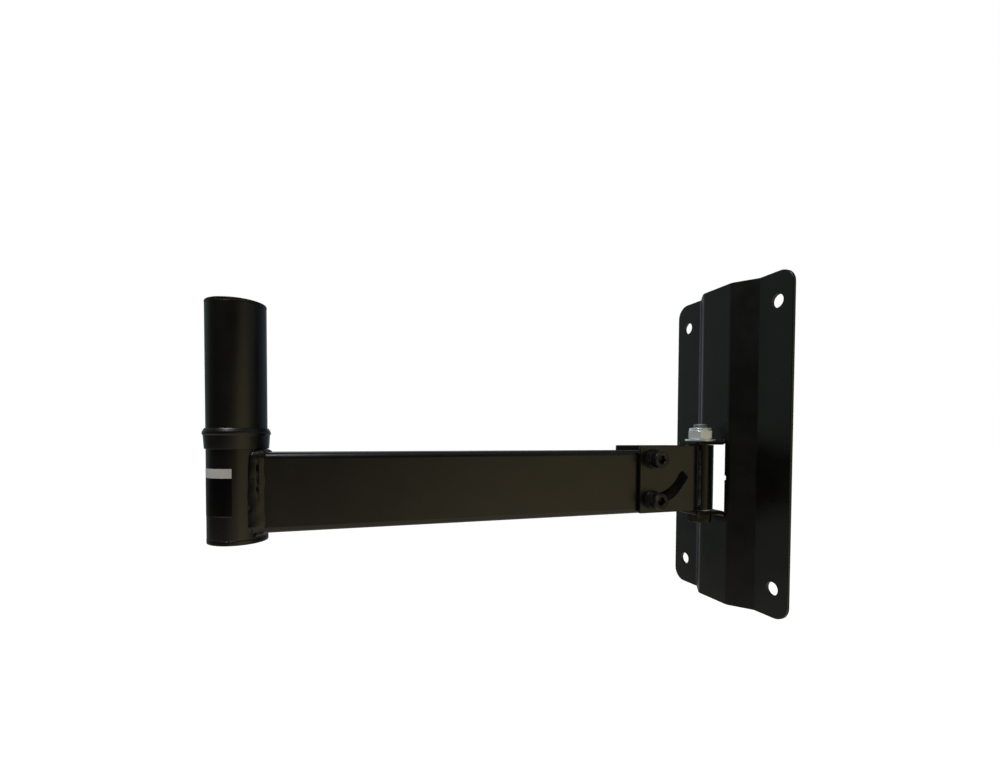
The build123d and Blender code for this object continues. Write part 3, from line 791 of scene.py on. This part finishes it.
def ringBead(level, size, seed):
    # a round section follows the pole's circle across the arm, rippled along it and closed at both ends
    ring, radius = poleWeld["ring"], pole["radius"]
    turn = np.radians(np.linspace(-ring["turn"], ring["turn"], ring["rows"]))[:, None]
    section = turnsOf(ring["columns"])
    along = turn * radius
    ripple = ring["ripple"] * np.sin(2 * pi * along / ring["pitch"])
    ends = np.sqrt(np.clip((turn - turn[0]) * (turn[-1] - turn) * ring["endFade"], 0, 1))
    width = (size + ripple + ring["uneven"] * size * lumps(along, section, seed)) * ends
    reach = radius + width * np.cos(section)
    x, y = reach * np.sin(turn), pole["y"] + reach * np.cos(turn)
    return np.stack((x, y, level + width * np.sin(section)), axis=-1)


def wallFill(top):
    # the flush fill between the arm's square end and the pole: a thin slab whose front edge follows the pole
    fill = poleWeld["fill"]
    x = np.linspace(-fill["half"], fill["half"], fill["columns"])[:, None]
    back = np.full_like(x, fill["back"])
    front = pole["y"] + np.sqrt(pole["radius"]**2 - x**2) - fill["lap"]
    front = np.minimum(front, back - fill["least"])
    y = np.hstack((front, back, back, front))
    z = top - fill["thick"] * np.array((0, 0, 1, 1)) + 0 * y
    grid = np.stack((x + 0 * y, y, z), axis=-1)
    caps = grid[[0, -1]].mean(axis=1, keepdims=True) + np.zeros((2, 4, 3))
    return np.concatenate((caps[:1], grid, caps[1:]))


def makePoleWeld():
    (x, y), size, fill = poleWeld["sideAt"], poleWeld["sideSize"], poleWeld["fill"]
    low, high = poleWeld["arm"]
    grids = [uprightBead(side * x, y, *poleWeld["side"], size, sideRelief(face, seed))
             for side, face, seed in zip((1, -1), (0, pi), poleWeld["sideSeeds"])]
    grids += [ringBead(high, poleWeld["topSize"], poleWeld["topSeed"]),
              ringBead(low, poleWeld["footSize"], poleWeld["footSeed"]),
              wallFill(high - fill["inset"]), wallFill(low + fill["thick"] + fill["inset"])]
    placePiece("poleWeldVisual", [(grid, False) for grid in grids], "pole_weld", edge="beadEdge")


knuckleWeld = {
    "at": (8.43, -40.36), "ends": (-53.9, -1.5), "size": 3.7, "seeds": (11, 14),
    "thin": 0.75, "thinAbove": (-19.0, 2.0), "ripples": (0.03, 1.7, 0.8, 2.0),
    "swells": ((0.36, 4.6, 0.8), (0.16, 2.1, 1.0)), "lumps": 0.14,
}


def knuckleRelief(seed):
    # one hand-laid pass: faint ripples, slowly uneven width, thin in its upper third
    def relief(level, turn):
        thin = knuckleWeld["thin"] * stepUp(level, *knuckleWeld["thinAbove"])
        ripple = ripplesOf(level, turn, *knuckleWeld["ripples"])
        swell = swellsOf(level, turn, knuckleWeld["swells"], seed)
        return ripple + swell - thin + knuckleWeld["lumps"] * lumps(level, turn, seed)
    return relief


def makeKnuckleWeld():
    x, y = knuckleWeld["at"]
    grids = [(uprightBead(side * x, y, *knuckleWeld["ends"], knuckleWeld["size"], knuckleRelief(seed)), False)
             for side, seed in zip((1, -1), knuckleWeld["seeds"])]
    placePiece("knuckleWeldVisual", grids, "knuckle_weld", edge="beadEdge")


makePoleWeld()
makeKnuckleWeld()
print("welds made")

# foil label round the side of the pole that faces away from the wall
label = {
    "half": 90.0,  # degrees each way
    "steps": 121,
    "foot": -43.8, "top": -14.2, "band": -20.0, "line": -43.3, "blur": 0.06,  # heights, mm
    "under": 0.01, "proud": 0.10,  # mm from the pole to the foil's two faces
    "corner": 0.05,  # mm
    "field": (0.0022, 0.0023, 0.0026), "pale": (0.60, 0.62, 0.63), "dull": (0.52, 0.535, 0.54),
    "lineTone": 0.10, "lineSides": (0.011, 0.0165),  # the line comes in between these, metres from the middle
    "ior": 1.25, "clouds": (0.006, 3.0, 0.6), "gloss": (0.24, 0.34),
    "waves": (0.004, 2.0, 0.5), "relief": (0.00004, 0.5),
}


def makeLabelFinish():
    # printed foil: a pale band and line on a dark field, by height
    finish, tree, shader, place = newFinish("labelFoil", ior=label["ior"])
    across, _, level = addNode(tree, "ShaderNodeSeparateXYZ", Vector=place).outputs
    under, over = -label["blur"], label["blur"]
    band = spread(tree, level, ((label["band"] + under) * mm, (label["band"] + over) * mm))
    line = spread(tree, level, ((label["line"] + over) * mm, (label["line"] + under) * mm))
    nearEdge = spread(tree, addMath(tree, "ABSOLUTE", across), label["lineSides"], (0.0, label["lineTone"]))
    pale = addMath(tree, "MAXIMUM", band, addMath(tree, "MULTIPLY", line, nearEdge))
    clouds = noiseOf(tree, place, *label["clouds"])
    silver = mixColour(tree, clouds, label["dull"], label["pale"])
    tone = mixColour(tree, pale, label["field"], silver)
    gloss = spread(tree, clouds, noiseMiddle, label["gloss"])
    dress(tree, shader, tone, gloss, noiseOf(tree, place, *label["waves"]), label["relief"])
    return finish


def labelGrid():
    # a thin rounded rectangle of (radius, height) follows the pole half way round, and closes at both ends
    inner, outer = pole["radius"] + label["under"], pole["radius"] + label["proud"]
    corners = [(inner, label["foot"]), (outer, label["foot"]), (outer, label["top"]), (inner, label["top"])]
    radius, height = roundedLine(corners, label["corner"], True).T
    turn = np.radians(np.linspace(-label["half"], label["half"], label["steps"]))
    turn = np.concatenate((turn[:1], turn, turn[-1:]))[:, None]
    grid = np.stack((radius * np.sin(turn), pole["y"] - radius * np.cos(turn), height + 0 * turn), axis=-1)
    grid[0], grid[-1] = grid[0].mean(axis=0), grid[-1].mean(axis=0)
    return grid


placePiece("labelVisual", [(labelGrid(), False)], body="arm", slot="moulded_black", finish=makeLabelFinish())
print("label made")

# floor and light
studio = {
    "base": (0.024, 0.024, 0.025),
    # azimuth, elevation, where the glow ends and where it is full (degrees from its middle), and its colour
    "glows": (
        (0, 90, 50, 20, (0.17, 0.17, 0.175)),  # from above
        (0, -90, 80, 60, (0.48, 0.44, 0.37)),  # from the floor
        (32, -8, 33, 4, (0.57, 0.47, 0.255)),  # warm, from beside the camera
        (0, -28, 36, 4, (0.25, 0.21, 0.13)),  # warm, from below the camera
        (60, 30, 36, 4, (0.20, 0.195, 0.165)),
        (70, 0, 36, 4, (0.05, 0.08, 0.05)),
        (118, 3, 34, 4, (0.09, 0.125, 0.18)),
        (150, 0, 34, 4, (0.10, 0.11, 0.11)),
        (180, 2, 36, 4, (0.25, 0.27, 0.33)),  # cool, from the far side
        (190, 3, 18, 5, (0.33, 0.37, 0.40)),
        (224, 16, 42, 8, (0.15, 0.20, 0.17)),
    ),
    "floor": {"height": -0.60, "half": 30.0},  # metres
    "floorSurface": {"Base Color": (0.9, 0.9, 0.9, 1), "Roughness": 0.9, "Emission Color": (1, 1, 1, 1),
                     "Emission Strength": 0.9},
    "panel": {"size": 0.6, "place": (0.30, -0.88, 1.38), "aim": (0, -0.2, 0), "power": 14},  # metres, watts
    "paper": (1, 1, 1, 1),
}


def addVector(tree, operation, **inputs):
    return addNode(tree, "ShaderNodeVectorMath", {"operation": operation}, **inputs)


def makeSky():
    # the object is lit by a few broad glows, and the eye sees plain white behind it
    world = bpy.data.worlds.new("studioSky")
    world.use_nodes = True
    scene.world = world
    tree = world.node_tree
    tree.nodes.clear()
    place = tree.nodes.new("ShaderNodeTexCoord").outputs["Generated"]
    red, green, blue = studio["base"]
    total = addNode(tree, "ShaderNodeCombineXYZ", X=red, Y=green, Z=blue).outputs[0]
    for azimuth, elevation, edge, core, colour in studio["glows"]:
        turn, lift = radians(azimuth), radians(elevation)
        toward = (cos(turn) * cos(lift), sin(turn) * cos(lift), sin(lift))
        facing = addVector(tree, "DOT_PRODUCT", in0=place, in1=toward).outputs["Value"]
        share = addNode(tree, "ShaderNodeMapRange", {"interpolation_type": "SMOOTHSTEP"}, in0=facing,
                        in1=cos(radians(edge)), in2=cos(radians(core))).outputs[0]
        tint = addVector(tree, "SCALE", in0=colour, Scale=share).outputs[0]
        total = addVector(tree, "ADD", in0=total, in1=tint).outputs[0]
    lamp = addNode(tree, "ShaderNodeBackground", Color=total)
    paper = addNode(tree, "ShaderNodeBackground", Color=studio["paper"])
    seen = tree.nodes.new("ShaderNodeLightPath").outputs["Is Camera Ray"]
    blend = addNode(tree, "ShaderNodeMixShader", in0=seen, in1=lamp.outputs[0], in2=paper.outputs[0])
    tree.links.new(blend.outputs[0], addNode(tree, "ShaderNodeOutputWorld").inputs["Surface"])


def makeFloor():
    # a pale square for the camera alone: it sends the object no light, isn't mirrored and casts no shadow
    pale = bpy.data.materials.new("paleFloor")
    pale.use_nodes = True
    shader = pale.node_tree.nodes["Principled BSDF"]
    for name, value in studio["floorSurface"].items():
        shader.inputs[name].default_value = value
    half, height = studio["floor"]["half"], studio["floor"]["height"]
    corners = [(-half, -half, height), (half, -half, height), (half, half, height), (-half, half, height)]
    sheet = bpy.data.meshes.new("paleFloor")
    sheet.from_pydata(corners, [], [(0, 1, 2, 3)])
    sheet.materials.append(pale)
    floor = bpy.data.objects.new("paleFloor", sheet)
    floor.visible_glossy = False
    floor.visible_diffuse = False
    floor.visible_shadow = False
    scene.collection.objects.link(floor)


def makePanel():
    # a soft square light overhead
    lamp = bpy.data.lights.new("overheadPanel", "AREA")
    lamp.shape = "SQUARE"
    lamp.size = studio["panel"]["size"]
    lamp.energy = studio["panel"]["power"]
    panel = bpy.data.objects.new("overheadPanel", lamp)
    panel.location = studio["panel"]["place"]
    toward = Vector(studio["panel"]["aim"]) - panel.location
    panel.rotation_euler = toward.to_track_quat("-Z", "Y").to_euler()
    panel.visible_camera = False
    scene.collection.objects.link(panel)


makeSky()
makeFloor()
makePanel()
scene.view_settings.view_transform = "Standard"
print("studio set")
